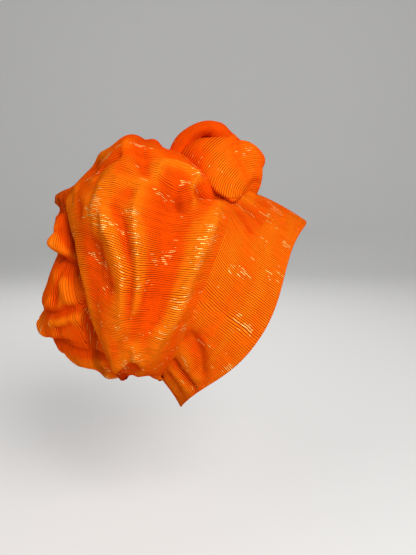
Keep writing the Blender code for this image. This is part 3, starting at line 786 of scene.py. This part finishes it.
ROLL_RIB_PITCH = 2.0         # millimetres from rib to rib
ROLL_BASE = (10.0, 118.0)    # x and z that the roll's ribs bend round, where it comes out of the band
ROLL_RIB_RUN = 40.0          # millimetres along a rib for each radian round that base
ROLL_DARK_FROM = 0.55        # share of the roll's length from which its cloth is painted darker, as shade deeper in the knot
ROLL_SHADE = 6.0             # millimetres of crease whose painted shade it is given at its far end
LOOP_RIBS = 46               # ribs round the loop
LOOP_LENGTH = 170            # millimetres along it
LOOP_SHADE = 2.0             # millimetres of crease whose painted shade the whole loop is given
ROLL_PULLS = (
    # place it is drawn from   how far it is drawn      reach
    ((-8.0, -29.0, 125.0),   (-2.0, -19.0, -10.0),   11.0),
    ((-21.0, -30.0, 134.0),  (-2.0, -17.0, -8.0),    10.0),
    ((-33.0, -28.0, 141.0),  (-2.0, -9.0, -6.0),     11.0),
    ((10.0, -24.0, 124.0),   (0.0, 5.0, 6.0),         9.0),
    ((20.0, -5.0, 134.0),    (-8.0, 0.0, 1.0),       10.0),
    ((-3.0, -6.0, 168.0),    (-1.0, 0.0, 4.0),        8.0),
    ((18.0, -4.0, 124.0),    (-5.0, 0.0, 5.0),        7.0),
)


def pulled(points, pulls):
    """The points, each drawn along by every pull: its move times exp(-(distance/reach)^2)."""
    drawn = points.copy()
    for place, move, reach in pulls:
        apart = np.linalg.norm(points - place, axis=-1) / reach
        drawn += np.exp(-(apart**2))[..., None] * move
    return drawn


def knot_points(rows, grid):
    """A cloth roll along a curved path: at each place an oval across the path, whose size shrinks at
    both ends as a quarter circle does, with the places spaced as a cosine. Two sines round and along
    make it uneven."""
    columns, length = grid
    along = (1 - np.cos(np.linspace(0, np.pi, length))) / 2
    table = through(rows, along)
    centre, tall, deep = table[:, :3], table[:, 3], table[:, 4]
    course = unit(np.gradient(centre, along, axis=0))
    across = unit(np.cross(course, [0, 1, 0]))
    depth = np.cross(across, course)
    around = np.linspace(0, 2 * np.pi, columns, endpoint=False)[:, None]
    edge = np.clip(np.minimum(along, 1 - along) / ROUND_END, 0, 1)
    swell = np.sqrt(1 - (1 - edge) ** 2)
    uneven = KNOT_UNEVEN * (np.sin(3 * around + 9 * along) + 0.6 * np.sin(5 * around - 14 * along + 1))
    swell = swell * (1 + uneven)
    return (
        centre
        + (np.cos(around) * tall * swell)[..., None] * across
        + (np.sin(around) * deep * swell)[..., None] * depth
    )


def knot_piece(name, points, u, v, raised):
    """A closed lobe from a grid of points, with the cloth's own place at every corner of its faces."""
    columns, rows = points.shape[:2]
    a, r = np.meshgrid(np.arange(columns), np.arange(rows - 1), indexing="ij")
    b = (a + 1) % columns
    faces = np.stack([a * rows + r, b * rows + r, b * rows + r + 1, a * rows + r + 1], -1).reshape(-1, 4)
    mesh = bpy.data.meshes.new(name)
    mesh.from_pydata((points.reshape(-1, 3) * MM).tolist(), [], faces.tolist())
    wide = np.concatenate([np.stack([u, v], -1), np.stack([u[:1], v[:1]], -1)], 0)
    corners = np.stack([wide[a, r], wide[a + 1, r], wide[a + 1, r + 1], wide[a, r + 1]], 2)
    mesh.uv_layers.new(name="cloth").data.foreach_set("uv", corners.astype(np.float32).ravel())
    lift = mesh.attributes.new("raised", "FLOAT", "POINT")
    lift.data.foreach_set("value", raised.ravel().astype(np.float32))
    shape = bmesh.new()
    shape.from_mesh(mesh)
    bmesh.ops.remove_doubles(shape, verts=shape.verts, dist=1e-6)
    if shape.calc_volume(signed=True) < 0:
        bmesh.ops.reverse_faces(shape, faces=shape.faces)
    shape.to_mesh(mesh)
    shape.free()
    mesh.shade_smooth()
    piece = bpy.data.objects.new(name, mesh)
    bpy.context.collection.objects.link(piece)
    return piece


points = pulled(knot_points(KNOT_ROLL, ROLL_GRID), ROLL_PULLS)
from_base = np.hypot(points[..., 0] - ROLL_BASE[0], points[..., 2] - ROLL_BASE[1])
turned = np.arctan2(points[..., 2] - ROLL_BASE[1], points[..., 0] - ROLL_BASE[0])
# The roll has no folds of its own: its mark is a made-up crease, deepening towards its far end, which the
# knit paints as shade.
roll_shade_share = smooth_step((np.linspace(0, 1, ROLL_GRID[1]) - ROLL_DARK_FROM) / (1 - ROLL_DARK_FROM))
raised = np.repeat(-ROLL_SHADE * roll_shade_share[None], ROLL_GRID[0], 0)
roll = knot_piece("wound_roll", points, from_base / ROLL_RIB_PITCH, turned * ROLL_RIB_RUN, raised)
# The knit's first number is this piece's painted lightness, as light falls on it.
dress(roll, "knot_roll", ribbed_knit("roll knit", 0.16, 0.0, 0.0, 4.0))

points = knot_points(KNOT_LOOP, LOOP_GRID)
columns, length = LOOP_GRID
u = np.repeat(np.linspace(0, LOOP_RIBS, columns)[:, None], length, 1)
v = np.repeat(np.linspace(0, LOOP_LENGTH, length)[None], columns, 0)
# The loop's mark is a made-up crease all over, which the knit paints as shade.
loop = knot_piece("back_loop", points, u, v, np.full(LOOP_GRID, -LOOP_SHADE))
# The knit's first number is this piece's painted lightness, as light falls on it.
dress(loop, "knot_loop", ribbed_knit("loop knit", -0.05, -0.6, -0.1, 4.0))
